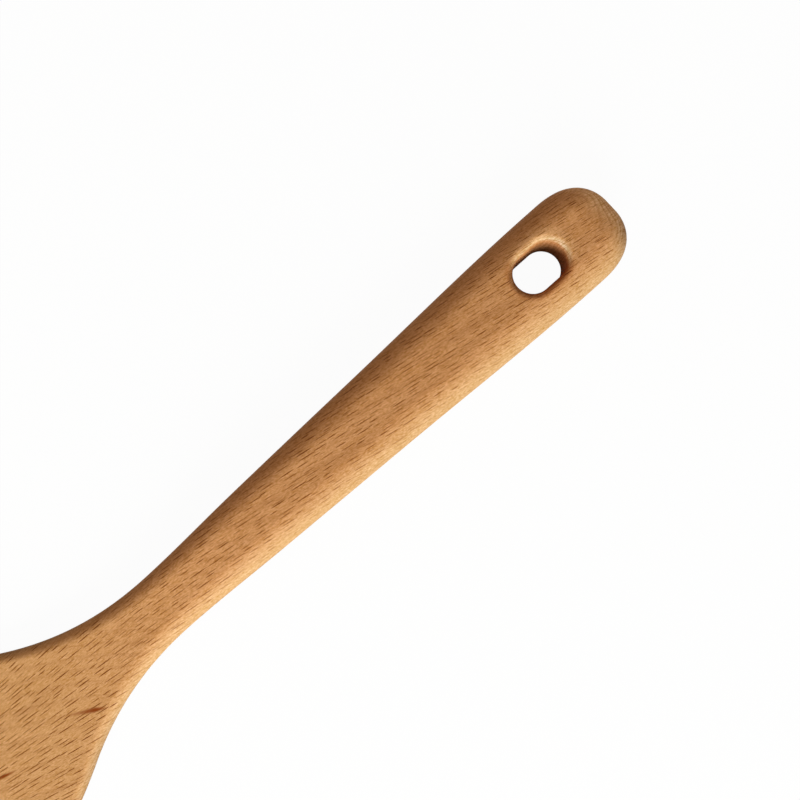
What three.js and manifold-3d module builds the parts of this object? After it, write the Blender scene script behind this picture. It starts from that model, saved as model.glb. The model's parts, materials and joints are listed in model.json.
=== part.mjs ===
// Wooden turner, cut and sanded from one length of beech: a rounded grip with a hanging slot,
// a narrow neck and a thin flared blade. Millimetres, +Z up. It lies on its back: the blade points
// to -X, the handle end to +X, and the origin is under the middle of the whole turner.

import * as THREE from 'three';
import { mergeVertices } from 'three/addons/utils/BufferGeometryUtils.js';
import Module from 'manifold-3d';

// Outline, as a chain of lengths from the handle end to the front edge.
const palmFromEnd = 24.5;
const gripFromPalm = 85;
const thumbFromGrip = 55;
const neckFromThumb = 42;
const flareFromNeck = 52.5;
const shoulderFromFlare = 42.5;
const bladeSideLength = 28.5;

// Widths at those places.
const palmWidth = 35;
const gripWidth = 29.5;
const thumbWidth = 25.7;
const neckWidth = 22.6;
const flareWidth = 49;
const bladeWidth = 77;

// Angle between each shoulder and the axis where the flare is steepest, in degrees.
const flareAngle = 29;

// Thicknesses, measured straight up from the underside.
const palmThickness = 18;
const gripThickness = 16.4;
const neckThickness = 10.8;
const heelThickness = 6.9;
const frontThickness = 2.6;

// Thickness lost for each millimetre towards the blade at the neck.
const neckTaper = 0.1;

// Width of each rounded long edge, as a multiple of half the thickness there.
const edgeSpread = 1.2;

// The underside is hollowed along the handle and flat under the blade.
const archRise = 2.2;
const heelFromFront = 75;

// Rounded handle end: how far the rounding runs back in plan and over the thickness.
const endRoundLength = 20.5;
const endRollLength = 13;
const endRoundPower = 2.5;

// Blade front: corner radius in plan, and the share of the thickness left as a blunt edge.
const cornerRadius = 8;
const bluntShare = 0.4;

// Hanging slot along the axis, with a rolled rim on both faces.
const slotFromEnd = 35;
const slotLength = 20.2;
const slotWidth = 13.8;
const rimRadius = 2.6;
const rimSweep = 75;
const slotOvershoot = 1;

// Fineness of the surfaces.
const ringSpacing = 5;
const endRings = 11;
const cornerRings = 9;
const edgeFacets = 16;
const slotEndFacets = 16;
const rimRings = 6;

const beechColour = 0xbe8957;
const oiledRoughness = 0.55;

const palm = palmFromEnd;
const grip = palm + gripFromPalm;
const thumb = grip + thumbFromGrip;
const neck = thumb + neckFromThumb;
const flare = neck + flareFromNeck;
const shoulder = flare + shoulderFromFlare;
const front = shoulder + bladeSideLength;
const heel = front - heelFromFront;
const quarterTurn = Math.PI / 2;

// A smooth curve through stations of place, size and, where it is fixed, slope. A slope that is left
// out follows the two neighbours, and outside the stations the size stays as it is at the ends.
function smoothCurve(stations) {
  const slopes = stations.map(({ place, size, slope }, i) => {
    if (slope !== undefined) return slope;
    const before = stations[i - 1] ?? { place, size };
    const after = stations[i + 1] ?? { place, size };
    return (after.size - before.size) / (after.place - before.place);
  });
  return (place) => {
    if (place <= stations[0].place) return stations[0].size;
    const next = stations.findIndex((station) => station.place >= place);
    if (next < 0) return stations.at(-1).size;
    const low = stations[next - 1];
    const high = stations[next];
    const span = high.place - low.place;
    const t = (place - low.place) / span;
    const lowShare = (1 + 2 * t) * (1 - t) ** 2;
    const lowTurn = t * (1 - t) ** 2 * span * slopes[next - 1];
    const highTurn = t ** 2 * (t - 1) * span * slopes[next];
    return lowShare * low.size + lowTurn + (1 - lowShare) * high.size + highTurn;
  };
}

const flareSlope = 2 * Math.tan(THREE.MathUtils.degToRad(flareAngle));

const outlineWidth = smoothCurve([
  { place: palm, size: palmWidth, slope: 0 },
  { place: grip, size: gripWidth },
  { place: thumb, size: thumbWidth },
  { place: neck, size: neckWidth, slope: 0 },
  { place: flare, size: flareWidth, slope: flareSlope },
  { place: shoulder, size: bladeWidth, slope: 0 },
]);

const bodyThickness = smoothCurve([
  { place: palm, size: palmThickness, slope: 0 },
  { place: grip, size: gripThickness },
  { place: neck, size: neckThickness, slope: -neckTaper },
  { place: heel, size: heelThickness },
  { place: front, size: frontThickness },
]);

const undersideLift = smoothCurve([
  { place: palm, size: 0, slope: 0 },
  { place: thumb, size: archRise, slope: 0 },
  { place: heel, size: 0, slope: 0 },
]);

// Share of the full size left at a distance from an end that is rounded over a length.
function roundedShare(distance, length, power, reach = 1) {
  const away = reach * Math.max(0, 1 - distance / length);
  return (1 - away ** power) ** (1 / power);
}

// Half the blade's width lost to the corner radius at a distance from the front edge.
function cornerLoss(distance) {
  const away = Math.max(0, cornerRadius - distance);
  return cornerRadius - Math.sqrt(cornerRadius ** 2 - away ** 2);
}

// Half width, half thickness and middle height of the section at a distance from the handle end.
function sectionAt(place) {
  const fromFront = front - place;
  const fullHalf = bodyThickness(place) / 2;
  const rolledEnd = roundedShare(place, endRollLength, 2);
  const bluntReach = Math.sqrt(1 - bluntShare ** 2);
  const rolledFront = roundedShare(fromFront, frontThickness / 2, 2, bluntReach);
  const roundedEnd = roundedShare(place, endRoundLength, endRoundPower);
  return {
    halfWidth: (outlineWidth(place) / 2) * roundedEnd - cornerLoss(fromFront),
    halfThickness: fullHalf * rolledEnd * rolledFront,
    middle: undersideLift(place) + fullHalf,
  };
}

function alongAxis(place) {
  return front / 2 - place;
}

// One section ring: two rounded edges joined by flat faces, anticlockwise seen from +X.
function sectionRing(place) {
  const { halfWidth, halfThickness, middle } = sectionAt(place);
  const edge = Math.min(edgeSpread * halfThickness, halfWidth);
  const ring = [];
  for (const side of [1, -1]) {
    for (let i = 0; i <= edgeFacets; i += 1) {
      const angle = -quarterTurn + (Math.PI * i) / edgeFacets;
      const y = side * (halfWidth - edge + edge * Math.cos(angle));
      const z = middle + side * halfThickness * Math.sin(angle);
      ring.push(new THREE.Vector3(alongAxis(place), y, z));
    }
    ring.push(new THREE.Vector3(alongAxis(place), 0, middle + side * halfThickness));
  }
  return ring;
}

// Distances from the handle end that get a ring: close together round the end and the front corners.
function ringPlaces() {
  const places = [];
  for (let i = 0; i < cornerRings; i += 1) {
    places.push(front - cornerRadius * (1 - Math.cos((quarterTurn * i) / cornerRings)));
  }
  const straight = front - cornerRadius - endRoundLength;
  const steps = Math.round(straight / ringSpacing);
  for (let i = 0; i < steps; i += 1) {
    places.push(front - cornerRadius - (straight * i) / steps);
  }
  const halfStep = 0.5;
  for (let i = endRings; i > 0; i -= 1) {
    const angle = (quarterTurn * (i - halfStep)) / (endRings - halfStep);
    places.push(endRoundLength * (1 - Math.cos(angle)));
  }
  return places;
}

// Closed skin through rings that each run anticlockwise seen from the end that the rings lead to.
function loft(rings, startPoint, endPoint) {
  const count = rings[0].length;
  const points = [...rings.flat(), startPoint, endPoint];
  const start = points.length - 2;
  const end = points.length - 1;
  const last = (rings.length - 1) * count;
  const faces = [];
  for (let i = 0; i < count; i += 1) {
    const next = (i + 1) % count;
    faces.push(start, next, i);
    for (let base = 0; base < last; base += count) {
      faces.push(base + i, base + next, base + count + i);
      faces.push(base + next, base + count + next, base + count + i);
    }
    faces.push(end, last + i, last + next);
  }
  const geometry = new THREE.BufferGeometry().setFromPoints(points);
  geometry.setIndex(faces);
  return mergeVertices(geometry);
}

function bodyGeometry() {
  const rings = ringPlaces().map(sectionRing);
  const frontPoint = new THREE.Vector3(alongAxis(front), 0, sectionAt(front).middle);
  const endPoint = new THREE.Vector3(alongAxis(0), 0, sectionAt(0).middle);
  return loft(rings, frontPoint, endPoint);
}

// Slot outline grown by an amount, at one height, anticlockwise seen from above.
function slotRing(grow, z) {
  const centre = alongAxis(slotFromEnd);
  const radius = slotWidth / 2 + grow;
  const halfStraight = (slotLength - slotWidth) / 2;
  const ring = [];
  for (const side of [1, -1]) {
    for (let i = 0; i <= slotEndFacets; i += 1) {
      const angle = -quarterTurn + (Math.PI * i) / slotEndFacets;
      const x = centre + side * (halfStraight + radius * Math.cos(angle));
      ring.push(new THREE.Vector3(x, side * radius * Math.sin(angle), z));
    }
  }
  return ring;
}

// The slot's cutter: straight in the middle, swelling to a rolled rim where it leaves each face.
function slotGeometry() {
  const { halfThickness, middle } = sectionAt(slotFromEnd);
  const sweep = THREE.MathUtils.degToRad(rimSweep);
  const flank = [];
  for (let i = 0; i <= rimRings; i += 1) {
    const angle = (sweep * i) / rimRings;
    const grow = rimRadius * (1 - Math.cos(angle));
    flank.push({ grow, height: halfThickness - rimRadius * (1 - Math.sin(angle)) });
  }
  const rimEdge = flank.at(-1);
  const height = halfThickness + slotOvershoot;
  flank.push({ grow: rimEdge.grow + (height - rimEdge.height) * Math.tan(sweep), height });
  const lower = flank.toReversed().map(({ grow, height }) => slotRing(grow, middle - height));
  const upper = flank.map(({ grow, height }) => slotRing(grow, middle + height));
  const centre = alongAxis(slotFromEnd);
  const lowPoint = new THREE.Vector3(centre, 0, middle - height);
  const highPoint = new THREE.Vector3(centre, 0, middle + height);
  return loft([...lower, ...upper], lowPoint, highPoint);
}

const wasm = await Module();
wasm.setup();

function toSolid(geometry) {
  const vertProperties = new Float32Array(geometry.getAttribute('position').array);
  const triVerts = new Uint32Array(geometry.getIndex().array);
  return new wasm.Manifold(new wasm.Mesh({ numProp: 3, vertProperties, triVerts }));
}

function toGeometry(solid) {
  const { vertProperties, triVerts } = solid.getMesh();
  const geometry = new THREE.BufferGeometry();
  geometry.setAttribute('position', new THREE.BufferAttribute(vertProperties, 3));
  geometry.setIndex(new THREE.BufferAttribute(triVerts, 1));
  geometry.computeVertexNormals();
  return geometry;
}

const oiledBeech = new THREE.MeshStandardMaterial({
  color: beechColour,
  roughness: oiledRoughness,
  metalness: 0,
});

const blank = toSolid(bodyGeometry());
const slotted = blank.subtract(toSolid(slotGeometry()));
const turner = new THREE.Mesh(toGeometry(slotted), oiledBeech);
turner.name = 'turner';

const group = new THREE.Group();
group.add(turner);

export default group;
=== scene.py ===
"""Wooden turner: one length of oiled beech with a hanging slot, on a pale studio floor."""

import json
import math

import bpy
from bpy.props import FloatProperty, FloatVectorProperty, IntProperty, PointerProperty
from bpy.types import Operator, Panel, PropertyGroup
from mathutils import Matrix, Vector


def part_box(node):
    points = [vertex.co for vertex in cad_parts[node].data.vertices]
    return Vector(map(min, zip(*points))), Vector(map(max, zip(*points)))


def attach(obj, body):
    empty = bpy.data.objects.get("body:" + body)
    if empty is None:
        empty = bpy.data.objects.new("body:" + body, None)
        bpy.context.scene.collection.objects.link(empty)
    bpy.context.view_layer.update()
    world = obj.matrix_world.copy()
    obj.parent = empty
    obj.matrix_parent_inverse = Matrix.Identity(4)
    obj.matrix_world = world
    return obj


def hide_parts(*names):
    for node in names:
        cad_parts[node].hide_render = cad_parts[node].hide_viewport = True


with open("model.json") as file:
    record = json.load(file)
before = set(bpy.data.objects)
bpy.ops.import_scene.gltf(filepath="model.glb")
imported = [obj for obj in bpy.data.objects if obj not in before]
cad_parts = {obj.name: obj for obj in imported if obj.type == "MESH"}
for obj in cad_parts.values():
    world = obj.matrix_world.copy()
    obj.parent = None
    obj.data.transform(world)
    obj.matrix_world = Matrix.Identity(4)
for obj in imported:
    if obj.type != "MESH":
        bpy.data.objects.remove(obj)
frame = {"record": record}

bl_info = {
    "name": "Wooden turner",
    "version": (1, 0, 0),
    "blender": (4, 5, 0),
    "location": "3D View > Sidebar > Turner",
    "description": "Builds a one-piece beech turner and the studio that it lies in",
    "category": "Object",
}

MILLIMETRE = 0.001
QUARTER_TURN = math.pi / 2
BODY = "root"
NODE = "turner"

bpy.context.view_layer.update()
CAD_LOW, CAD_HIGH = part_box(NODE)
LENGTH = CAD_HIGH.x - CAD_LOW.x
BLADE_WIDTH = CAD_HIGH.y - CAD_LOW.y
HANGING = next(m for m in frame["record"]["mounts"] if m["name"] == "hanging_slot")
SLOT_FROM_END = CAD_HIGH.x - HANGING["pos_m"][0]

# Chain of lengths from the handle end to the place where the blade reaches its full width.
PALM = 0.0245
PALM_TO_GRIP = 0.085
GRIP_TO_THUMB = 0.055
THUMB_TO_NECK = 0.042
NECK_TO_FLARE = 0.0525
FLARE_TO_SHOULDER = 0.0425
TO_SHOULDER = PALM + PALM_TO_GRIP + GRIP_TO_THUMB + THUMB_TO_NECK + NECK_TO_FLARE + FLARE_TO_SHOULDER

# Fewest cells that any part of the skin can be cut into.
FEWEST_CELLS = 4


def length_prop(name, default, description):
    """A size in metres that shows in the scene's own unit."""
    return FloatProperty(
        name=name, description=description, default=default, min=0.0, unit="LENGTH", precision=4
    )


def offset_prop(name, default, description):
    """A distance in metres to either side."""
    return FloatProperty(name=name, description=description, default=default, unit="LENGTH", precision=4)


def angle_prop(name, degrees, description):
    """An angle that shows in degrees."""
    return FloatProperty(
        name=name, description=description, default=math.radians(degrees), subtype="ANGLE"
    )


def share_prop(name, default, description):
    """A share from nothing to the whole."""
    return FloatProperty(
        name=name, description=description, default=default, min=0.0, max=1.0, subtype="FACTOR"
    )


def number_prop(name, default, description):
    """A plain number that isn't negative."""
    return FloatProperty(name=name, description=description, default=default, min=0.0)


def colour_prop(name, default, description):
    """A linear colour with a colour picker."""
    return FloatVectorProperty(
        name=name, description=description, default=default, size=3, min=0.0, max=1.0, subtype="COLOR"
    )


def cells_prop(name, default, description):
    """A count of mesh cells."""
    return IntProperty(name=name, description=description, default=default, min=FEWEST_CELLS)


class TurnerSizes(PropertyGroup):
    """Sizes of the turner, in metres."""

    palm_from_end: length_prop("Palm from end", PALM, "Handle end to the widest place of the grip")
    grip_from_palm: length_prop("Grip from palm", PALM_TO_GRIP, "Widest place to the middle of the grip")
    thumb_from_grip: length_prop("Thumb from grip", GRIP_TO_THUMB, "Middle of the grip to the thumb")
    neck_from_thumb: length_prop("Neck from thumb", THUMB_TO_NECK, "Thumb to the narrowest place")
    flare_from_neck: length_prop("Flare from neck", NECK_TO_FLARE, "Narrowest place to the steepest flare")
    shoulder_from_flare: length_prop(
        "Shoulder from flare", FLARE_TO_SHOULDER, "Steepest flare to full width"
    )
    blade_side: length_prop("Blade side", LENGTH - TO_SHOULDER, "Straight side of the blade")
    palm_width: length_prop("Palm width", 0.035, "Widest place of the grip")
    grip_width: length_prop("Grip width", 0.0295, "Middle of the grip")
    thumb_width: length_prop("Thumb width", 0.0257, "Where the thumb lies")
    neck_width: length_prop("Neck width", 0.0226, "Narrowest place")
    flare_width: length_prop("Flare width", 0.049, "Where the shoulders are steepest")
    blade_width: length_prop("Blade width", BLADE_WIDTH, "Width of the blade")
    flare_angle: angle_prop("Flare angle", 29, "Each shoulder to the axis at its steepest")
    palm_thickness: length_prop("Palm thickness", 0.018, "At the widest place of the grip")
    grip_thickness: length_prop("Grip thickness", 0.0164, "At the middle of the grip")
    neck_thickness: length_prop("Neck thickness", 0.0108, "At the narrowest place")
    neck_taper: number_prop("Neck taper", 0.1, "Thickness lost for each unit of length at the neck")
    heel_thickness: length_prop("Heel thickness", 0.0069, "Where the flat underside of the blade begins")
    front_thickness: length_prop("Front thickness", 0.0026, "At the front edge")
    edge_spread: number_prop("Edge spread", 1.2, "Width of each rounded edge for half the thickness")
    arch_rise: length_prop("Arch rise", 0.0022, "Hollow under the handle")
    heel_from_front: length_prop("Heel from front", 0.075, "Length of the flat underside of the blade")
    end_round: length_prop("End rounding", 0.0205, "How far the handle end is rounded in plan")
    end_roll: length_prop("End roll", 0.013, "How far the handle end is rolled over its thickness")
    corner_radius: length_prop("Corner radius", 0.008, "Front corners of the blade")
    slot_from_end: length_prop("Slot from end", SLOT_FROM_END, "Handle end to the middle of the slot")
    slot_length: length_prop("Slot length", 0.0202, "Hanging slot along the axis")
    slot_width: length_prop("Slot width", 0.0138, "Hanging slot across the axis")
    rim_radius: length_prop("Rim radius", 0.0026, "Rolled rim of the hanging slot")


class BeechFinish(PropertyGroup):
    """Colours and figure of the oiled beech."""

    grip_wood: colour_prop("Grip wood", (0.64, 0.298, 0.116), "Plain wood of the grip")
    blade_wood: colour_prop("Blade wood", (0.645, 0.326, 0.128), "Plain wood of the blade")
    # Painted light: paler, yellower wood for faces turned to -Y, towards the soft box.
    sap_wood: colour_prop("Sap wood", (0.60, 0.345, 0.155), "Pale wood along the -Y edge")
    ring_wood: colour_prop("Ring wood", (0.33, 0.118, 0.028), "Late wood of a growth ring")
    ray_wood: colour_prop("Ray wood", (0.15, 0.034, 0.002), "Ray flecks")
    end_wood: colour_prop("End wood", (0.52, 0.31, 0.155), "End grain")
    streak_wood: colour_prop("Streak wood", (0.25, 0.047, 0.002), "Natural red streaks in the blade")
    gloss: share_prop("Gloss", 0.12, "Specular level of the oil finish")
    grain_angle: angle_prop("Grain angle", 10, "Grain to the axis, seen from above")
    ring_tilt: angle_prop("Ring tilt", 10.5, "Growth rings to the upper face, across the grain")
    ring_spacing: length_prop("Ring spacing", 0.00095, "Thickness of one growth ring")


class StudioSettings(PropertyGroup):
    """Camera, light and floor."""

    camera_from_end: length_prop("Camera from end", 0.1225, "Handle end to the camera, along the turner")
    camera_aside: offset_prop("Camera aside", -0.028, "Camera beside the axis")
    camera_height: length_prop("Camera height", 0.359, "Camera above the floor")
    camera_turn: angle_prop("Camera turn", -41.83, "Right side of the picture to the axis, from above")
    look_from_end: length_prop("Look from end", 0.1005, "Handle end to the point the camera looks at")
    look_aside: offset_prop("Look aside", -0.0015, "Point the camera looks at, beside the axis")
    look_height: length_prop("Look height", 0.009, "Point the camera looks at, above the floor")
    lens: number_prop("Lens", 45.9, "Focal length in millimetres")
    key_level: number_prop("Key level", 1.7, "Light of the soft box on a face turned to it")
    key_tint: colour_prop("Key tint", (0.92, 1.0, 1.0), "Colour of the soft box")
    key_distance: length_prop("Key distance", 1.3, "Soft box to the turner")
    key_size: length_prop("Key size", 0.77, "Side of the soft box")
    key_elevation: angle_prop("Key elevation", 19, "Height of the soft box above the horizon")
    key_azimuth: angle_prop("Key azimuth", -36, "Direction of the soft box round the upright axis")
    sky_level: number_prop("Sky level", 0.41, "Even light from all round")
    sky_tint: colour_prop("Sky tint", (1.0, 0.9, 0.75), "Colour of the even light")
    sky_fall: share_prop("Sky fall", 0.35, "Share of the even light missing towards +Y")
    floor_colour: colour_prop("Floor colour", (0.95, 0.95, 0.95), "Floor as the camera sees it lit")
    floor_bounce: colour_prop("Floor bounce", (0.08, 0.08, 0.08), "Floor as it lights the underside")
    floor_glow: share_prop("Floor glow", 0.96, "Share of the floor that shows white to the camera")


class MeshFineness(PropertyGroup):
    """Cells of the turner's skin, counted along and round it."""

    corner_cells: cells_prop("Corner cells", 18, "Rings round the front corners")
    straight_cells: cells_prop("Straight cells", 260, "Rings from the corners to the slot")
    slot_cells: cells_prop("Slot cells", 48, "Rings beside the slot")
    end_cells: cells_prop("End cells", 36, "Rings over the handle end")
    edge_cells: cells_prop("Edge cells", 28, "Cells round each half-round edge")
    face_cells: cells_prop("Face cells", 28, "Cells across each flat face")
    sheet_cells: cells_prop("Sheet cells", 14, "Loops from the skin to the slot's rim")
    rim_cells: cells_prop("Rim cells", 12, "Loops over the slot's rim")
    wall_cells: cells_prop("Wall cells", 10, "Loops down half the slot's wall")


class Wire:
    """A socket that formulas use like a number. Each step of a formula becomes a Math node."""

    def __init__(self, tree, socket):
        self.tree = tree
        self.socket = socket

    def __add__(self, other):
        return math_node(self.tree, "ADD", self, other)

    def __radd__(self, other):
        return math_node(self.tree, "ADD", other, self)

    def __sub__(self, other):
        return math_node(self.tree, "SUBTRACT", self, other)

    def __rsub__(self, other):
        return math_node(self.tree, "SUBTRACT", other, self)

    def __mul__(self, other):
        return math_node(self.tree, "MULTIPLY", self, other)

    def __rmul__(self, other):
        return math_node(self.tree, "MULTIPLY", other, self)

    def __truediv__(self, other):
        return math_node(self.tree, "DIVIDE", self, other)

    def __pow__(self, other):
        return math_node(self.tree, "POWER", self, other)

    def __gt__(self, other):
        return math_node(self.tree, "GREATER_THAN", self, other)

    def __lt__(self, other):
        return math_node(self.tree, "LESS_THAN", self, other)

    def __abs__(self):
        return math_node(self.tree, "ABSOLUTE", self)


def feed(tree, socket, value):
    """Links a wire to a socket, or sets the socket to a plain value."""
    if isinstance(value, Wire):
        tree.links.new(value.socket, socket)
    else:
        socket.default_value = value


def math_node(tree, operation, *values):
    """One step of a formula, on wires or plain numbers."""
    node = tree.nodes.new("ShaderNodeMath")
    node.operation = operation
    for socket, value in zip(node.inputs, values):
        feed(tree, socket, value)
    return Wire(tree, node.outputs[0])


def sine(wire):
    return math_node(wire.tree, "SINE", wire)


def cosine(wire):
    return math_node(wire.tree, "COSINE", wire)


def root(wire):
    return math_node(wire.tree, "SQRT", wire)


def larger(wire, other):
    return math_node(wire.tree, "MAXIMUM", wire, other)


def smaller(wire, other):
    return math_node(wire.tree, "MINIMUM", wire, other)


def limit(wire, low, high):
    return smaller(larger(wire, low), high)


def add_node(tree, kind, settings=None, **inputs):
    """A node with its own settings and its inputs fed by name, with _ for a space in the name."""
    node = tree.nodes.new(kind)
    for name, value in (settings or {}).items():
        setattr(node, name, value)
    for name, value in inputs.items():
        feed(tree, node.inputs[name.replace("_", " ")], value)
    return node


def split(tree, vector):
    """The three parts of a vector."""
    node = add_node(tree, "ShaderNodeSeparateXYZ", Vector=vector)
    return [Wire(tree, socket) for socket in node.outputs]


def joined(tree, x, y, z):
    """A vector from its three parts."""
    node = add_node(tree, "ShaderNodeCombineXYZ", X=x, Y=y, Z=z)
    return Wire(tree, node.outputs[0])


def floats(*names):
    """Sockets that each hold a plain number."""
    return dict.fromkeys(names, "NodeSocketFloat")


def new_group(name, kind, inputs, outputs):
    """A node tree with named sockets, its inputs as wires and its output node."""
    tree = bpy.data.node_groups.new(name, kind)
    for title, socket_kind in inputs.items():
        tree.interface.new_socket(name=title, in_out="INPUT", socket_type=socket_kind)
    for title, socket_kind in outputs.items():
        tree.interface.new_socket(name=title, in_out="OUTPUT", socket_type=socket_kind)
    source = tree.nodes.new("NodeGroupInput")
    given = {title: Wire(tree, source.outputs[title]) for title in inputs}
    return tree, given, tree.nodes.new("NodeGroupOutput")


def use_group(tree, group, **inputs):
    """Places a group in a tree of the same kind and returns its outputs as wires."""
    kind = "GeometryNodeGroup" if tree.bl_idname == "GeometryNodeTree" else "ShaderNodeGroup"
    node = tree.nodes.new(kind)
    node.node_tree = group
    for name, value in inputs.items():
        feed(tree, node.inputs[name.replace("_", " ")], value)
    return {socket.name: Wire(tree, socket) for socket in node.outputs}


def lay_out(tree, column=190, row=170):
    """Places the nodes in columns by how many links lead to them."""
    depth = {}

    def depth_of(node):
        if node.name not in depth:
            depth[node.name] = 0
            sources = [link.from_node for socket in node.inputs for link in socket.links]
            depth[node.name] = 1 + max((depth_of(source) for source in sources), default=-1)
        return depth[node.name]

    filled = {}
    for node in tree.nodes:
        place = depth_of(node)
        filled[place] = filled.get(place, 0) + 1
        node.location = (place * column, -filled[place] * row)


def titles(group, keys=None):
    """Titles of a group's settings, or of some of them, by the names that scripts use."""
    properties = group.bl_rna.properties
    return {key: properties[key].name for key in keys or group.__annotations__}


def span_group():
    """How much a profile has grown along one smooth span between two stations."""
    inputs = floats("Place", "Start", "Start size", "Start slope", "End", "End size", "End slope")
    tree, given, result = new_group("Profile span", "GeometryNodeTree", inputs, floats("Gain"))
    span = given["End"] - given["Start"]
    t = limit((given["Place"] - given["Start"]) / span, 0.0, 1.0)
    rest = 1.0 - t
    rise = (given["End size"] - given["Start size"]) * t * t * (3.0 - 2.0 * t)
    start_turn = t * rest * rest * given["Start slope"]
    end_turn = t * t * rest * given["End slope"]
    feed(tree, result.inputs["Gain"], rise + span * (start_turn - end_turn))
    lay_out(tree)
    return tree


def profile(tree, group, place, stations):
    """A smooth size at a place, through stations of place, size and slope.

    A slope of None follows the two neighbours.
    """
    slopes = []
    for i, (_, _, slope) in enumerate(stations):
        if slope is None:
            before = stations[max(i - 1, 0)]
            after = stations[min(i + 1, len(stations) - 1)]
            slope = (after[1] - before[1]) / (after[0] - before[0])
        slopes.append(slope)
    size = stations[0][1]
    for i in range(len(stations) - 1):
        start, end = stations[i], stations[i + 1]
        gain = use_group(
            tree, group, Place=place, Start=start[0], Start_size=start[1], Start_slope=slopes[i],
            End=end[0], End_size=end[1], End_slope=slopes[i + 1],
        )
        size = size + gain["Gain"]
    return size


# Power of the handle end's rounding in plan. A power of 2 is an ellipse, and more is squarer.
END_ROUND_POWER = 2.5


def rounded_share(distance, length, power=2.0):
    """Share of the full size left at a distance from an end that is rounded over a length."""
    away = larger(1.0 - distance / length, 0.0)
    return larger(1.0 - away ** power, 0.0) ** (1.0 / power)


def section_group():
    """A section by its distance from the handle end: its place, half sizes and middle height."""
    inputs = floats("Place", *titles(TurnerSizes).values())
    outputs = floats("Along", "Half width", "Half thickness", "Middle")
    tree, given, result = new_group("Turner section", "GeometryNodeTree", inputs, outputs)
    span = span_group()
    place = given["Place"]
    palm = given["Palm from end"]
    grip = palm + given["Grip from palm"]
    thumb = grip + given["Thumb from grip"]
    neck = thumb + given["Neck from thumb"]
    flare = neck + given["Flare from neck"]
    shoulder = flare + given["Shoulder from flare"]
    front = shoulder + given["Blade side"]
    heel = front - given["Heel from front"]
    flare_slope = 2.0 * math_node(tree, "TANGENT", given["Flare angle"])
    width = profile(tree, span, place, [
        (palm, given["Palm width"], 0.0),
        (grip, given["Grip width"], None),
        (thumb, given["Thumb width"], None),
        (neck, given["Neck width"], 0.0),
        (flare, given["Flare width"], flare_slope),
        (shoulder, given["Blade width"], 0.0),
    ])
    thickness = profile(tree, span, place, [
        (palm, given["Palm thickness"], 0.0),
        (grip, given["Grip thickness"], None),
        (neck, given["Neck thickness"], 0.0 - given["Neck taper"]),
        (heel, given["Heel thickness"], None),
        (front, given["Front thickness"], None),
    ])
    lift = profile(tree, span, place, [
        (palm, 0.0, 0.0),
        (thumb, given["Arch rise"], 0.0),
        (heel, 0.0, 0.0),
    ])
    from_front = front - place
    corner = given["Corner radius"]
    into_corner = larger(corner - from_front, 0.0)
    corner_loss = corner - root(larger(corner * corner - into_corner * into_corner, 0.0))
    end_width = rounded_share(place, given["End rounding"], END_ROUND_POWER)
    end_height = rounded_share(place, given["End roll"])
    front_height = rounded_share(from_front, given["Front thickness"] / 2.0)
    feed(tree, result.inputs["Along"], front / 2.0 - place)
    feed(tree, result.inputs["Half width"], width / 2.0 * end_width - corner_loss)
    feed(tree, result.inputs["Half thickness"], thickness / 2.0 * end_height * front_height)
    feed(tree, result.inputs["Middle"], lift + thickness / 2.0)
    lay_out(tree)
    return tree


def cell_grid(tree, along, across):
    """A flat sheet of cells, and the count of cells along and across to each of its points."""
    node = add_node(
        tree, "GeometryNodeMeshGrid", Size_X=float(along), Size_Y=float(across),
        Vertices_X=along + 1, Vertices_Y=across + 1,
    )
    position = tree.nodes.new("GeometryNodeInputPosition")
    x, y, _ = split(tree, Wire(tree, position.outputs[0]))
    return Wire(tree, node.outputs["Mesh"]), x + along / 2, y + across / 2


def placed(tree, mesh, x, y, z):
    """A mesh with its points moved to their places."""
    node = add_node(tree, "GeometryNodeSetPosition", Geometry=mesh, Position=joined(tree, x, y, z))
    return Wire(tree, node.outputs[0])


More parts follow.
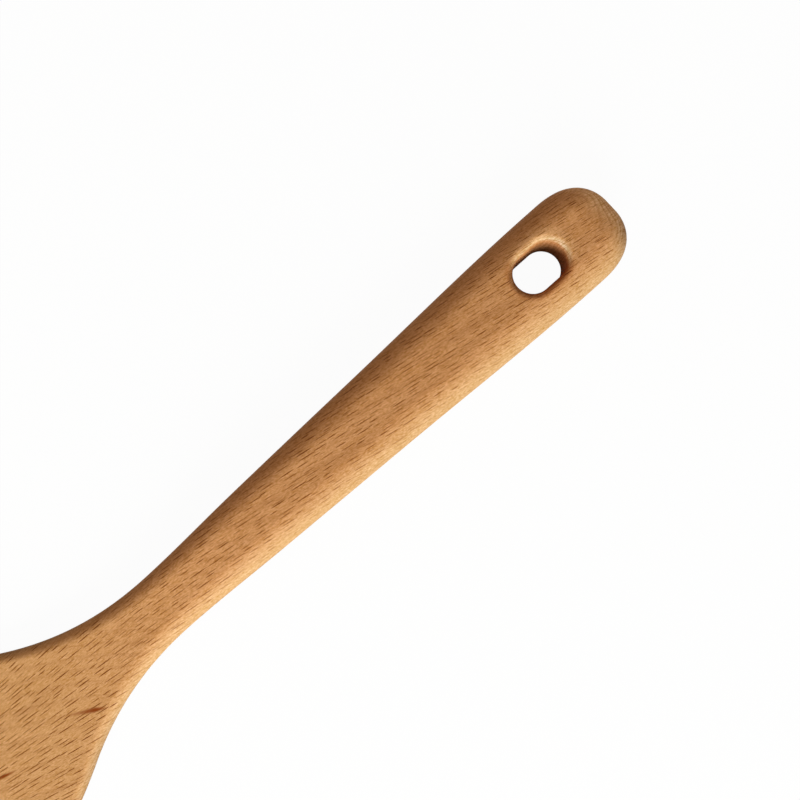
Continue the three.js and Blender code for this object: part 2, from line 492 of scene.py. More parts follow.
class BodyTree:
    """Node tree of the turner's body: a lofted skin, with a sheet, a rim and a wall round the slot.

    The skin has a window over the slot on each face, and the sheets close it.
    """

    # The window's sides lie at this angle round the rounded edges.
    SHEET_ANGLE = math.radians(45)
    # Its ends lie this far from the slot's middle, in metres.
    SHEET_REACH = 0.018
    # Points of the skin and the sheets closer than this are welded.
    MERGE_GAP = 1e-6

    def __init__(self, cells):
        self.cells = cells
        self.section_tree = section_group()
        inputs = {**floats(*titles(TurnerSizes).values()), "Material": "NodeSocketMaterial"}
        self.tree, self.given, self.result = new_group(
            "Turner body", "GeometryNodeTree", inputs, {"Geometry": "NodeSocketGeometry"}
        )
        self.tree.is_modifier = True
        self.near = self.given["Slot from end"] - self.SHEET_REACH
        self.far = self.given["Slot from end"] + self.SHEET_REACH
        self.build()
        lay_out(self.tree)

    def section(self, place):
        """The section at a distance from the handle end."""
        sizes = {title: self.given[title] for title in titles(TurnerSizes).values()}
        return use_group(self.tree, self.section_tree, Place=place, **sizes)

    def edge_width(self, section):
        """Width of each rounded edge of a section."""
        return smaller(self.given["Edge spread"] * section["Half thickness"], section["Half width"])

    def across_point(self, section, flat_share, angle):
        """Sideways place of a point, by its share of the flat face and its angle round the edge."""
        edge = self.edge_width(section)
        return flat_share * (section["Half width"] - edge) + edge * cosine(angle)

    def skin(self):
        """The lofted skin, with a window left open over the slot on both faces."""
        c = self.cells
        along = c.corner_cells + c.straight_cells + c.slot_cells + c.end_cells
        across = 2 * (c.edge_cells + c.face_cells)
        mesh, ring, column = cell_grid(self.tree, along, across)
        slot_start = c.corner_cells + c.straight_cells
        slot_end = slot_start + c.slot_cells
        corner_share = limit(ring / c.corner_cells, 0.0, 1.0)
        straight_share = limit((ring - c.corner_cells) / c.straight_cells, 0.0, 1.0)
        slot_share = limit((ring - slot_start) / c.slot_cells, 0.0, 1.0)
        end_share = limit((ring - slot_end) / c.end_cells, 0.0, 1.0)
        corner = self.given["Corner radius"]
        front = 2.0 * self.section(0.0)["Along"]
        from_front = corner * (1.0 - cosine(corner_share * QUARTER_TURN))
        from_front = from_front + straight_share * (front - corner - self.far)
        from_front = from_front + slot_share * (self.far - self.near)
        from_front = from_front + self.near * sine(end_share * QUARTER_TURN)
        # Columns run round the -Y edge from below, over the top, round the +Y edge and back under.
        left_turn = limit(column / c.edge_cells, 0.0, 1.0)
        top_run = limit((column - c.edge_cells) / c.face_cells, 0.0, 1.0)
        right_turn = limit((column - c.edge_cells - c.face_cells) / c.edge_cells, 0.0, 1.0)
        low_run = limit((column - 2 * c.edge_cells - c.face_cells) / c.face_cells, 0.0, 1.0)
        angle = (3.0 - 2.0 * (left_turn + right_turn)) * QUARTER_TURN
        flat_share = 2.0 * (top_run - low_run) - 1.0
        beside_slot = (ring > float(slot_start)) * (ring < float(slot_end))
        window = beside_slot * (abs(sine(angle)) > math.sin(self.SHEET_ANGLE))
        opened = add_node(
            self.tree, "GeometryNodeDeleteGeometry", {"domain": "FACE"}, Geometry=mesh, Selection=window
        )
        section = self.section(front - from_front)
        y = self.across_point(section, flat_share, angle)
        z = section["Middle"] + section["Half thickness"] * sine(angle)
        return placed(self.tree, Wire(self.tree, opened.outputs[0]), section["Along"], y, z)

    def slot_sheets(self):
        """For each face, a sheet from the window to the slot, the rolled rim and half the slot's wall."""
        c = self.cells
        quarter = c.edge_cells // 4
        across = c.face_cells + 2 * quarter
        around = 2 * (c.slot_cells + across)
        loops = c.sheet_cells + c.rim_cells + c.wall_cells
        mesh, step, loop = cell_grid(self.tree, around, loops)
        # Steps run along the +Y side of the window, across to -Y, back along that side and across again.
        ring = limit(step, 0.0, c.slot_cells) - limit(step - c.slot_cells - across, 0.0, c.slot_cells)
        column = limit(step - c.slot_cells, 0.0, across)
        column = column - limit(step - 2 * c.slot_cells - across, 0.0, across)
        turn = limit(column / quarter, 0.0, 1.0)
        turn = turn + limit((column - quarter - c.face_cells) / quarter, 0.0, 1.0)
        angle = self.SHEET_ANGLE + turn * (QUARTER_TURN - self.SHEET_ANGLE)
        flat_share = 1.0 - 2.0 * limit((column - quarter) / c.face_cells, 0.0, 1.0)
        place = self.far - ring / c.slot_cells * (self.far - self.near)
        outer = self.section(place)
        window_y = self.across_point(outer, flat_share, angle)
        window_x = self.given["Slot from end"] - place
        radius = self.given["Slot width"] / 2.0
        rim = self.given["Rim radius"]
        core = (self.given["Slot length"] - self.given["Slot width"]) / 2.0
        core_x = limit(window_x, 0.0 - core, core)
        gap = root((window_x - core_x) ** 2.0 + window_y * window_y)
        sheet_share = limit(loop / c.sheet_cells, 0.0, 1.0)
        rim_angle = limit((loop - c.sheet_cells) / c.rim_cells, 0.0, 1.0) * QUARTER_TURN
        wall_share = limit((loop - c.sheet_cells - c.rim_cells) / c.wall_cells, 0.0, 1.0)
        reach = gap + sheet_share * (radius + rim - gap) - rim * sine(rim_angle)
        x = core_x + (window_x - core_x) / gap * reach
        y = window_y / gap * reach
        inner = self.section(self.given["Slot from end"] - x)
        edge = self.edge_width(inner)
        into_edge = larger(abs(y) - (inner["Half width"] - edge), 0.0) / edge
        lift = inner["Half thickness"] * root(larger(1.0 - into_edge * into_edge, 0.0))
        height = (lift - rim * (1.0 - cosine(rim_angle))) * (1.0 - wall_share)
        top = placed(self.tree, mesh, inner["Along"], y, inner["Middle"] + height)
        low = placed(self.tree, mesh, inner["Along"], y, inner["Middle"] - height)
        turned = add_node(self.tree, "GeometryNodeFlipFaces", Mesh=top)
        return Wire(self.tree, turned.outputs[0]), low

    def build(self):
        """Welds the skin and the sheets together and gives them their material."""
        tree = self.tree
        together = tree.nodes.new("GeometryNodeJoinGeometry")
        for sheet in (self.skin(), *self.slot_sheets()):
            tree.links.new(sheet.socket, together.inputs[0])
        welded = add_node(
            tree, "GeometryNodeMergeByDistance", Geometry=Wire(tree, together.outputs[0]),
            Distance=self.MERGE_GAP,
        )
        smooth = add_node(tree, "GeometryNodeSetShadeSmooth", Geometry=Wire(tree, welded.outputs[0]))
        real = add_node(tree, "GeometryNodeRealizeInstances", Geometry=Wire(tree, smooth.outputs[0]))
        finished = add_node(
            tree, "GeometryNodeSetMaterial", Geometry=Wire(tree, real.outputs[0]),
            Material=self.given["Material"],
        )
        feed(tree, self.result.inputs["Geometry"], Wire(tree, finished.outputs[0]))


def run_tree(name, tree, values):
    """A new object whose plain mesh is what a node tree makes from the values, given by socket title."""
    piece = bpy.data.objects.new(name, bpy.data.meshes.new(name))
    bpy.context.scene.collection.objects.link(piece)
    modifier = piece.modifiers.new(name, "NODES")
    modifier.node_group = tree
    for item in tree.interface.items_tree:
        if item.item_type == "SOCKET" and item.in_out == "INPUT":
            modifier[item.identifier] = values[item.name]
    graph = bpy.context.evaluated_depsgraph_get()
    made = bpy.data.meshes.new_from_object(piece.evaluated_get(graph), depsgraph=graph)
    piece.modifiers.remove(modifier)
    blank = piece.data
    piece.data = made
    bpy.data.meshes.remove(blank)
    made.name = name
    return piece


def opaque(colour):
    """A colour of the settings as a colour socket takes it."""
    return (*colour, 1.0)


# Places of a Mix node's sockets for colours. Their titles repeat, so they go by place.
MIX_FACTOR = 0
MIX_FIRST = 6
MIX_SECOND = 7
MIX_RESULT = 2


def blend(tree, factor, first, second):
    """A colour between two colours."""
    node = add_node(tree, "ShaderNodeMix", {"data_type": "RGBA"})
    feed(tree, node.inputs[MIX_FACTOR], factor)
    feed(tree, node.inputs[MIX_FIRST], first)
    feed(tree, node.inputs[MIX_SECOND], second)
    return Wire(tree, node.outputs[MIX_RESULT])


def tinted(tree, colour, mask, gains):
    """A colour whose red, green and blue each grow by a gain where a mask is 1."""
    parts = split(tree, colour)
    return joined(tree, *(part * (1.0 + gain * mask) for part, gain in zip(parts, gains)))


def fade(wire, start, end):
    """0 to 1 as a wire goes from a start to an end, which may lie below the start."""
    return limit((wire - start) / (end - start), 0.0, 1.0)


def spread(chance, least, most):
    """A value between a least and a most, by a chance from 0 to 1."""
    return least + (most - least) * chance


NOISE_MIDDLE = 0.5


def patches(tree, place, sizes, seed, detail=1.0):
    """Smooth noise about 0 at a place, in patches of a given length, width and height."""
    vector = joined(tree, *(part / size for part, size in zip(place, sizes)))
    node = add_node(
        tree, "ShaderNodeTexNoise", {"noise_dimensions": "4D"},
        Vector=vector, W=seed, Scale=1.0, Detail=detail,
    )
    return Wire(tree, node.outputs[0]) - NOISE_MIDDLE


# Ray flecks: the cell that holds one, how deep it reaches and half its size, in millimetres, and a seed.
HANDLE_RAYS = {
    "Cell_length": 7.4, "Cell_width": 1.45, "Reach": 26.0,
    "Half_length": 2.8, "Half_width": 0.17, "Seed": 0.0,
}
BLADE_RAYS = {
    "Cell_length": 7.8, "Cell_width": 2.1, "Reach": 26.0,
    "Half_length": 2.8, "Half_width": 0.225, "Seed": 7.3,
}
FINE_RAYS = {
    "Cell_length": 4.6, "Cell_width": 0.95, "Reach": 14.0,
    "Half_length": 1.8, "Half_width": 0.13, "Seed": 3.9,
}
# How far a fleck strays in its cell, and the least and most of its length, width and strength.
RAY_STRAY = 0.7
RAY_LENGTHS = (0.6, 1.4)
RAY_WIDTHS = (0.75, 1.25)
RAY_STRENGTHS = (0.6, 1.0)
# How fast a fleck thins with depth, and the thinnest that it gets.
RAY_THINNING = 1.2
RAY_THINNEST = 0.001
# Half widths from the middle of a fleck at which the fleck and its halo begin and are complete.
RAY_EDGE = (1.0, 0.6)
HALO_EDGE = (2.4, 1.0)


def ray_group():
    """Ray flecks: one pointed lens in each cell, long with the grain and thin across it."""
    inputs = floats(
        "Grain", "Across", "Depth", "Cell length", "Cell width", "Reach",
        "Half length", "Half width", "Seed",
    )
    tree, given, result = new_group("Ray flecks", "ShaderNodeTree", inputs, floats("Mask", "Halo"))
    seed = given["Seed"]
    cell = joined(
        tree, given["Grain"] / given["Cell length"] + seed, given["Across"] / given["Cell width"] + seed,
        given["Depth"] / given["Reach"] + seed,
    )
    node = add_node(tree, "ShaderNodeTexVoronoi", Vector=cell, Scale=1.0, Randomness=RAY_STRAY)
    chance, strength, thickness = split(tree, Wire(tree, node.outputs["Color"]))
    from_fleck = add_node(tree, "ShaderNodeVectorMath", {"operation": "SUBTRACT"}, Vector=cell)
    tree.links.new(node.outputs["Position"], from_fleck.inputs[1])
    along, aside, deep = split(tree, Wire(tree, from_fleck.outputs[0]))
    along = along * given["Cell length"] / (given["Half length"] * spread(chance, *RAY_LENGTHS))
    aside = abs(aside) * given["Cell width"] / (given["Half width"] * spread(thickness, *RAY_WIDTHS))
    lens = larger(1.0 - along * along - RAY_THINNING * deep * deep, RAY_THINNEST)
    power = spread(strength, *RAY_STRENGTHS)
    feed(tree, result.inputs["Mask"], power * fade(aside / lens, *RAY_EDGE))
    feed(tree, result.inputs["Halo"], power * fade(aside / lens, *HALO_EDGE))
    lay_out(tree)
    return tree


# Millimetres along the grain: where the fibres begin to fan out towards the blade, and over what length.
FAN_START = -10.0
FAN_RUN = 80.0
# How far they lean for each millimetre beyond that, and how much more for each millimetre aside.
FAN_LEAN = 0.26
FAN_OPENING = 0.0087

# Uneven wood: length, width and height of its patches in millimetres, and a seed.
FIBRE_WAVES = ((70.0, 40.0, 40.0), 3.0)
RING_WAVES = ((90.0, 30.0, 30.0), 8.0)
BANDS = ((60.0, 4.5, 2.5), 5.0)
WARM_PATCHES = ((70.0, 6.0, 5.0), 12.0)
STRANDS = ((18.0, 0.6, 1.5), 1.0)
FIBRES = ((1.0, 0.32, 0.8), 2.0)
SPOKES = ((3.0, 0.6, 14.0), 6.0)
# How far the fibres wander aside and the rings up and down, in millimetres.
FIBRE_WANDER = 4.0
RING_WANDER = 1.6


def fanned(tree, place):
    """Distance across the grain, for fibres that spread over the blade and wander everywhere."""
    grain, level, _ = place
    beyond = larger(FAN_START - grain, 0.0)
    near = smaller(beyond, FAN_RUN)
    run = near * near / (2.0 * FAN_RUN) + (beyond - near)
    wander = FIBRE_WANDER * patches(tree, place, *FIBRE_WAVES, detail=0.0)
    return level + run * (FAN_LEAN + FAN_OPENING * level) + wander


# Millimetres along the grain between which the handle's flecks and colour give way to the blade's.
RAYS_TO_BLADE = (-52.0, -66.0)
WOOD_TO_BLADE = (-20.0, -95.0)
# Age of a growth ring from 0 to 1: where its late wood begins and is complete, and where it ends.
LATE_WOOD = (0.5, 0.9)
RING_END = (1.0, 0.94)
# Noise at which a warm patch begins and is complete.
WARM_EDGE = (0.05, 0.25)
# Share of the flecks that end grain, the painted light on faces turned to -Y and the long sides hide.
HIDDEN_ON_END = 0.9
HIDDEN_ON_LIT_SIDE = 0.4
HIDDEN_ON_SIDE = 0.75
# Strength of the blade's flecks and of the fine ones, and the share of the fine ones lost on the blade.
BLADE_RAY_POWER = 1.2
FINE_RAY_POWER = 0.25
FINE_RAYS_LOST = 0.6
# Share of a colour where its mask is 1. The rings have one for long grain and one for end grain.
END_SHARE = 0.9
RING_SHARES = (0.16, 0.62)
WARM_SHARE = 0.24
# Change of tone for each kind of uneven wood, and what a change and a halo do to red, green and blue.
BAND_CHANGE = 0.2
STRAND_CHANGE = 0.4
FIBRE_CHANGE = 1.25
SPOKE_CHANGE = 1.2
CHANGE_GAINS = (0.7, 1.0, 1.8)
HALO_GAINS = (-0.02, -0.08, -0.22)
# Roughness and relief of the fibres, the strands and the smooth, sunken flecks.
PLAIN_ROUGHNESS = 0.62
FIBRE_ROUGHNESS = 0.2
RAY_POLISH = 0.08
FIBRE_RELIEF = 0.5
STRAND_RELIEF = 0.5
RAY_SINK = 0.4

# Colours that the figure is mixed from.
FIGURE_WOODS = ("grip_wood", "blade_wood", "sap_wood", "ring_wood", "ray_wood", "end_wood")


def figure_group():
    """The figure of beech at a point given in millimetres along the grain, across it and up."""
    # Painted light for faces turned to -Y, towards the soft box, comes in as a mask and a colour.
    inputs = {
        "Vector": "NodeSocketVector",
        **floats("End grain", "Long side", "Sapwood", "Ring tilt", "Ring spacing"),
        **dict.fromkeys(titles(BeechFinish, FIGURE_WOODS).values(), "NodeSocketColor"),
    }
    outputs = {"Color": "NodeSocketColor", **floats("Roughness", "Height")}
    tree, given, result = new_group("Beech figure", "ShaderNodeTree", inputs, outputs)
    grain, level, up = split(tree, given["Vector"])
    end = given["End grain"]
    tilt = given["Ring tilt"]
    across = fanned(tree, (grain, level, up))
    depth = up * cosine(tilt) + level * sine(tilt)
    depth = depth + RING_WANDER * patches(tree, (grain, level, up), *RING_WAVES)
    place = (grain, across, depth)

    ring_age = math_node(tree, "FRACT", depth / given["Ring spacing"])
    late = fade(ring_age, *LATE_WOOD) * fade(ring_age, *RING_END)
    band = patches(tree, place, *BANDS)
    warm = fade(patches(tree, place, *WARM_PATCHES), *WARM_EDGE)
    strand = patches(tree, place, *STRANDS)
    fibre = patches(tree, place, *FIBRES)
    spoke = patches(tree, place, *SPOKES)

    rays = ray_group()
    handle_rays, blade_rays, fine_rays = (
        use_group(tree, rays, Grain=grain, Across=across, Depth=depth, **kind)
        for kind in (HANDLE_RAYS, BLADE_RAYS, FINE_RAYS)
    )
    on_blade = fade(grain, *RAYS_TO_BLADE)
    # Faces turned to -Y lose flecks as part of the painted light there.
    shown = (1.0 - HIDDEN_ON_END * end) * (1.0 - HIDDEN_ON_LIT_SIDE * given["Sapwood"])
    shown = shown * (1.0 - HIDDEN_ON_SIDE * given["Long side"])
    ray, halo = (
        shown * larger(
            handle_rays[part] * (1.0 - on_blade) + BLADE_RAY_POWER * blade_rays[part] * on_blade,
            FINE_RAY_POWER * fine_rays[part] * (1.0 - FINE_RAYS_LOST * on_blade),
        )
        for part in ("Mask", "Halo")
    )

    ringed = limit(late * spread(end, *RING_SHARES) + WARM_SHARE * warm, 0.0, 1.0)
    change = BAND_CHANGE * band + STRAND_CHANGE * strand + FIBRE_CHANGE * fibre
    change = change + SPOKE_CHANGE * end * spoke
    wood = blend(tree, fade(grain, *WOOD_TO_BLADE), given["Grip wood"], given["Blade wood"])
    # Painted light: faces turned to -Y, towards the soft box, take the paler, yellower colour.
    wood = blend(tree, given["Sapwood"], wood, given["Sap wood"])
    wood = blend(tree, END_SHARE * end, wood, given["End wood"])
    wood = blend(tree, ringed, wood, given["Ring wood"])
    wood = tinted(tree, wood, change, CHANGE_GAINS)
    wood = tinted(tree, wood, halo, HALO_GAINS)
    wood = blend(tree, ray, wood, given["Ray wood"])
    roughness = PLAIN_ROUGHNESS + FIBRE_ROUGHNESS * fibre - RAY_POLISH * ray
    height = FIBRE_RELIEF * fibre + STRAND_RELIEF * strand - RAY_SINK * ray
    feed(tree, result.inputs["Color"], wood)
    feed(tree, result.inputs["Roughness"], roughness)
    feed(tree, result.inputs["Height"], height)
    lay_out(tree)
    return tree


# Natural streaks in the blade, in metres, seen from above.
STREAKS = [
    {"Head_X": -0.0783, "Head_Y": -0.0130, "Tail_X": -0.0915, "Tail_Y": -0.0055, "Width": 0.0012},
    {"Head_X": -0.1155, "Head_Y": -0.0084, "Tail_X": -0.1300, "Tail_Y": -0.0042, "Width": 0.0008},
]
# Shares of the way from head to tail between which a streak widens, darkens and thins out.
STREAK_WIDENS = (-0.08, 0.3)
STREAK_DARKENS = (-0.08, 0.2)
STREAK_THINS = (1.0, 0.3)
# Its least and most width, and the share of that from its middle at which it begins and is complete.
STREAK_WIDTHS = (0.25, 1.0)
STREAK_EDGE = (1.0, 0.3)
# Metres above the floor at which it begins and is complete, so that the underside has none.
STREAK_HEIGHTS = (0.002, 0.004)


def streak_group():
    """Mask of a natural streak that runs from a dark head to a thin tail, seen from above."""
    inputs = {
        "Vector": "NodeSocketVector",
        **floats("Head X", "Head Y", "Tail X", "Tail Y", "Width", "Ragged"),
    }
    tree, given, result = new_group("Red streak", "ShaderNodeTree", inputs, floats("Mask"))
    x, y, z = split(tree, given["Vector"])
    run_x = given["Tail X"] - given["Head X"]
    run_y = given["Tail Y"] - given["Head Y"]
    run = root(run_x * run_x + run_y * run_y)
    from_x = x - given["Head X"]
    from_y = y - given["Head Y"]
    along = (from_x * run_x + from_y * run_y) / (run * run)
    aside = abs(from_x * run_y - from_y * run_x) / run
    tail = fade(along, *STREAK_THINS)
    body = fade(along, *STREAK_WIDENS) * tail
    half = given["Width"] * spread(body, *STREAK_WIDTHS) * (1.0 + given["Ragged"])
    strength = fade(along, *STREAK_DARKENS) * tail
    mask = fade(aside / half, *STREAK_EDGE) * strength * fade(z, *STREAK_HEIGHTS)
    feed(tree, result.inputs["Mask"], mask)
    lay_out(tree)
    return tree


# Part of the surface's direction, along X or Y, at which each kind of face begins and is complete.
END_FACING = (0.14, 0.55)
LONG_SIDE_FACING = (0.6, 0.9)
# Faces turned to -Y, towards the soft box, get painted light: paler, yellower wood with fewer flecks.
LIT_SIDE_FACING = (-0.1, -0.8)
# Faces turned to +Y, away from the soft box, get painted shade: darker, redder wood.
SHADED_SIDE_FACING = (0.05, 0.5)
# The handle end gets painted light, less where it turns to -Y.
LIT_END_FACING = (-0.45, 0.05)
# Metres from the middle of the turner at which the painted light on the handle end begins and is complete.
LIT_END_PLACE = (0.143, 0.150)
# Direction from the slot's rim with painted shade, turned away from the soft box, to its rim with painted
# highlight, turned to it, and where along it each begins and is complete.
LIT_RIM_X = 0.8
LIT_RIM_Y = 0.6
LIT_RIM_SIDE = (0.1, 0.7)
SHADED_RIM_SIDE = (0.3, -0.1)
# Rim radii outside the slot's wall at which each painted highlight or shade begins and is complete.
LIT_RIM_REACH = (2.3, 0.7)
SHADED_RIM_REACH = (1.3, 0.3)
SHADED_WALL_REACH = (0.3, 0.05)
# What each painted highlight or painted shade does to red, green and blue: the slot's rims and wall, the
# handle end and faces turned to +Y.
LIT_RIM_GAINS = (0.15, 0.29, 0.46)
SHADED_RIM_GAINS = (-0.25, -0.45, -0.6)
SHADED_WALL_GAINS = (-0.24, -0.5, -0.66)
LIT_END_GAINS = (0.75, 0.75, 0.75)
SHADED_SIDE_GAINS = (-0.03, -0.1, -0.12)
# The slot's wall is less finely sanded than the rest.
WALL_ROUGHNESS = 0.4
# Relief of the grain, and its depth in metres.
RELIEF_STRENGTH = 0.6
RELIEF_DEPTH = 0.00006


def from_slot(x, y, sizes):
    """Direction from the middle of the hanging slot, and distance outside its wall in rim radii."""
    centre = CAD_HIGH.x - sizes.slot_from_end
    core = (sizes.slot_length - sizes.slot_width) / 2
    from_core = x - centre - limit(x - centre, -core, core)
    reach = root(from_core * from_core + y * y)
    return from_core / reach, y / reach, (reach - sizes.slot_width / 2) / sizes.rim_radius


def oiled_beech(finish, sizes):
    """Fine-sanded beech with a satin oil finish, and painted light and shade in its colour."""
    material = bpy.data.materials.new("oiled_beech")
    material.use_nodes = True
    tree = material.node_tree
    shader = tree.nodes["Principled BSDF"]
    source = tree.nodes.new("ShaderNodeTexCoord")
    place = Wire(tree, source.outputs["Object"])
    x, y, _ = split(tree, place)
    facing_x, facing_y, _ = split(tree, Wire(tree, source.outputs["Normal"]))
    end_grain = fade(abs(facing_x), *END_FACING)
    along_grain = add_node(
        tree, "ShaderNodeMapping", Vector=place,
        Rotation=(0.0, 0.0, finish.grain_angle), Scale=(1 / MILLIMETRE,) * 3,
    )
    named = titles(BeechFinish, FIGURE_WOODS)
    woods = {title: opaque(getattr(finish, key)) for key, title in named.items()}
    # The mask of faces turned to -Y, towards the soft box, carries painted light into the figure.
    figure = use_group(
        tree, figure_group(), Vector=Wire(tree, along_grain.outputs[0]), End_grain=end_grain,
        Long_side=fade(abs(facing_y), *LONG_SIDE_FACING), Sapwood=fade(facing_y, *LIT_SIDE_FACING),
        Ring_tilt=finish.ring_tilt, Ring_spacing=finish.ring_spacing / MILLIMETRE, **woods,
    )
    colour = figure["Color"]
    streaks = streak_group()
    for streak in STREAKS:
        mask = use_group(tree, streaks, Vector=place, Ragged=figure["Height"], **streak)["Mask"]
        colour = blend(tree, mask, colour, opaque(finish.streak_wood))
    toward_x, toward_y, gap = from_slot(x, y, sizes)
    side = LIT_RIM_X * toward_x + LIT_RIM_Y * toward_y
    # Painted shade down the slot's wall, which is also rougher.
    in_slot = fade(gap, *SHADED_WALL_REACH)
    # Painted light on the handle end's grain, which faces away from the soft box, less where it turns to
    # -Y.
    lit_end = fade(x, *LIT_END_PLACE) * fade(facing_y, *LIT_END_FACING)
    # Painted highlight on the slot's rim turned to the soft box, painted shade on the rim turned away from
    # it and down the wall, painted light on the handle end and painted shade on faces turned to +Y.
    tints = [
        (fade(gap, *LIT_RIM_REACH) * fade(side, *LIT_RIM_SIDE), LIT_RIM_GAINS),
        (fade(gap, *SHADED_RIM_REACH) * fade(side, *SHADED_RIM_SIDE), SHADED_RIM_GAINS),
        (in_slot, SHADED_WALL_GAINS),
        (end_grain * lit_end, LIT_END_GAINS),
        (fade(facing_y, *SHADED_SIDE_FACING), SHADED_SIDE_GAINS),
    ]
    for mask, gains in tints:
        colour = tinted(tree, colour, mask, gains)
    feed(tree, shader.inputs["Base Color"], colour)
    feed(tree, shader.inputs["Roughness"], figure["Roughness"] + WALL_ROUGHNESS * in_slot)
    shader.inputs["Specular IOR Level"].default_value = finish.gloss
    relief = add_node(
        tree, "ShaderNodeBump", Strength=RELIEF_STRENGTH, Distance=RELIEF_DEPTH, Height=figure["Height"]
    )
    feed(tree, shader.inputs["Normal"], Wire(tree, relief.outputs[0]))
    lay_out(tree)
    return material


class TURNER_OT_body(Operator):
    """Builds the turner's body from its sizes"""

    bl_idname = "turner.body"
    bl_label = "Turner body"

    def execute(self, context):
        scene = context.scene
        values = {title: getattr(scene.turner_sizes, key) for key, title in titles(TurnerSizes).items()}
        values["Material"] = oiled_beech(scene.turner_finish, scene.turner_sizes)
        body = run_tree("turner_body", BodyTree(scene.turner_cells).tree, values)
        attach(body, BODY)
        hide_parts(NODE)
        return {"FINISHED"}


def direction(azimuth, elevation):
    """Unit vector from the turner towards a place that looks along +Y at azimuth 0."""
    flat = math.cos(elevation)
    return Vector((math.sin(azimuth) * flat, -math.cos(azimuth) * flat, math.sin(elevation)))


def add_camera(studio):
    """A camera over the turner, turned so that the handle points up and to the right."""
    place = Vector((CAD_HIGH.x - studio.camera_from_end, studio.camera_aside, studio.camera_height))
    target = Vector((CAD_HIGH.x - studio.look_from_end, studio.look_aside, studio.look_height))
    back = (place - target).normalized()
    level = Vector((math.cos(studio.camera_turn), math.sin(studio.camera_turn), 0.0))
    up = back.cross(level).normalized()
    data = bpy.data.cameras.new("studio_camera")
    data.lens = studio.lens
    camera = bpy.data.objects.new("studio_camera", data)
    camera.location = place
    camera.rotation_euler = Matrix((up.cross(back), up, back)).transposed().to_euler()
    bpy.context.scene.collection.objects.link(camera)
    bpy.context.scene.camera = camera


def add_key(studio):
    """A soft box. At level 1, a face turned to it shows its colour about as it is written."""
    data = bpy.data.lights.new("soft_box", "AREA")
    data.shape = "SQUARE"
    data.size = studio.key_size
    data.color = studio.key_tint
    data.energy = studio.key_level * math.pi ** 2 * studio.key_distance ** 2
    lamp = bpy.data.objects.new("soft_box", data)
    back = direction(studio.key_azimuth, studio.key_elevation)
    lamp.location = back * studio.key_distance
    lamp.rotation_euler = back.to_track_quat("Z", "Y").to_euler()
    bpy.context.scene.collection.objects.link(lamp)


def seen_directly(tree):
    """1 on rays from the camera, a reflection or through glass, which see a white background."""
    path = tree.nodes.new("ShaderNodeLightPath")
    camera, glossy, through = (
        Wire(tree, path.outputs[f"Is {kind} Ray"]) for kind in ("Camera", "Glossy", "Transmission")
    )
    return smaller(camera + glossy + through, 1.0)


WHITE = (1.0, 1.0, 1.0)


def add_sky(studio):
    """Soft light from all round, weaker towards +Y, that shows white where it is seen directly."""
    world = bpy.data.worlds.new("studio_sky")
    world.use_nodes = True
    tree = world.node_tree
    sky = tree.nodes["Background"]
    seen = seen_directly(tree)
    feed(tree, sky.inputs["Color"], blend(tree, seen, opaque(studio.sky_tint), opaque(WHITE)))
    source = tree.nodes.new("ShaderNodeTexCoord")
    _, toward_y, _ = split(tree, Wire(tree, source.outputs["Generated"]))
    level = studio.sky_level * (1.0 - studio.sky_fall * larger(toward_y, 0.0))
    feed(tree, sky.inputs["Strength"], level + seen * (1.0 - level))
    lay_out(tree)
    bpy.context.scene.world = world


# Side of the floor and its distance under the turner, in metres.
FLOOR_SIDE = 6.0
FLOOR_GAP = 0.0001


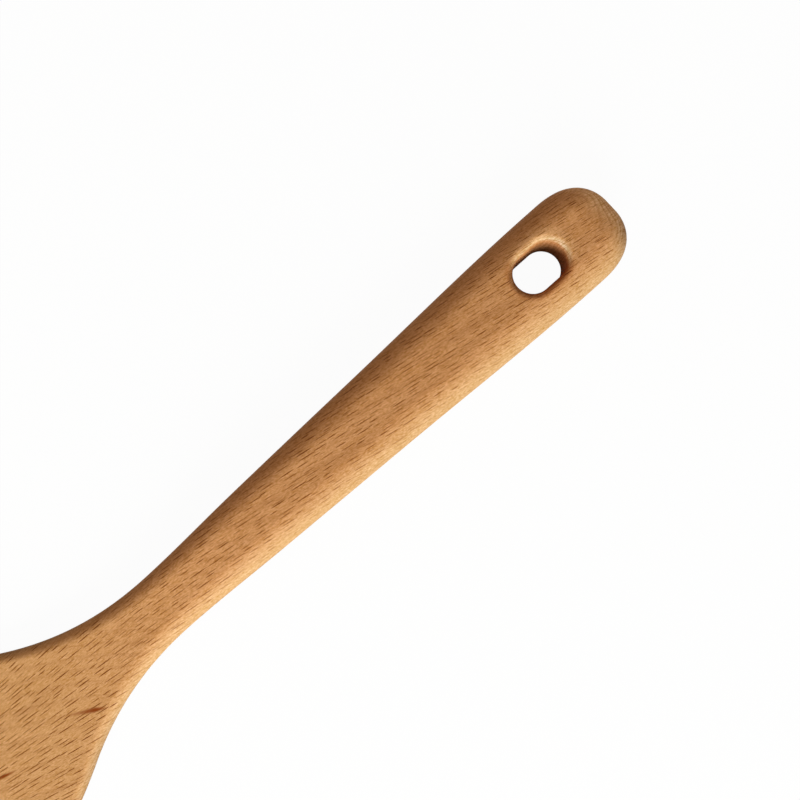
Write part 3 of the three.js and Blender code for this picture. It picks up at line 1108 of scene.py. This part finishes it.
def add_floor(studio):
    """A floor just under the turner that shows nearly white and throws little light back up."""
    mesh = bpy.data.meshes.new("studio_floor")
    half = FLOOR_SIDE / 2
    corners = [(-half, -half), (half, -half), (half, half), (-half, half)]
    mesh.from_pydata([(x, y, CAD_LOW.z - FLOOR_GAP) for x, y in corners], [], [(0, 1, 2, 3)])
    floor = bpy.data.objects.new("studio_floor", mesh)
    bpy.context.scene.collection.objects.link(floor)
    material = bpy.data.materials.new("pale_floor")
    material.use_nodes = True
    tree = material.node_tree
    tree.nodes.remove(tree.nodes["Principled BSDF"])
    seen = seen_directly(tree)
    colour = blend(tree, seen, opaque(studio.floor_bounce), opaque(studio.floor_colour))
    matt = add_node(tree, "ShaderNodeBsdfDiffuse", Color=colour)
    glow = add_node(tree, "ShaderNodeEmission", Color=opaque(WHITE), Strength=1.0)
    mixed = tree.nodes.new("ShaderNodeMixShader")
    feed(tree, mixed.inputs[0], seen * studio.floor_glow)
    tree.links.new(matt.outputs[0], mixed.inputs[1])
    tree.links.new(glow.outputs[0], mixed.inputs[2])
    tree.links.new(mixed.outputs[0], tree.nodes["Material Output"].inputs["Surface"])
    lay_out(tree)
    mesh.materials.append(material)


class TURNER_OT_stage(Operator):
    """Sets up the camera, the soft box, the even sky light and the pale floor"""

    bl_idname = "turner.stage"
    bl_label = "Studio stage"

    def execute(self, context):
        studio = context.scene.turner_studio
        add_camera(studio)
        add_key(studio)
        add_sky(studio)
        add_floor(studio)
        context.scene.view_settings.view_transform = "Standard"
        return {"FINISHED"}


class TURNER_PT_sidebar(Panel):
    """Sizes, finish and studio of the turner"""

    bl_idname = "TURNER_PT_sidebar"
    bl_label = "Wooden turner"
    bl_space_type = "VIEW_3D"
    bl_region_type = "UI"
    bl_category = "Turner"

    def draw(self, context):
        for step in STEPS:
            self.layout.operator(step.bl_idname)
        for key, group in SETTINGS.items():
            box = self.layout.box()
            box.label(text=group.__doc__)
            for name in group.__annotations__:
                box.prop(getattr(context.scene, key), name)


STEPS = (TURNER_OT_stage, TURNER_OT_body)
SETTINGS = {
    "turner_sizes": TurnerSizes,
    "turner_finish": BeechFinish,
    "turner_studio": StudioSettings,
    "turner_cells": MeshFineness,
}
CLASSES = (*SETTINGS.values(), *STEPS, TURNER_PT_sidebar)


def register():
    """Registers the classes and hangs the settings on the scene."""
    for cls in CLASSES:
        bpy.utils.register_class(cls)
    for key, group in SETTINGS.items():
        setattr(bpy.types.Scene, key, PointerProperty(type=group))


def unregister():
    """Takes the settings off the scene and unregisters the classes."""
    for key in SETTINGS:
        delattr(bpy.types.Scene, key)
    for cls in reversed(CLASSES):
        bpy.utils.unregister_class(cls)


def main():
    """Builds the stage and the turner."""
    register()
    bpy.ops.turner.stage()
    bpy.ops.turner.body()


if __name__ == "__main__":
    main()
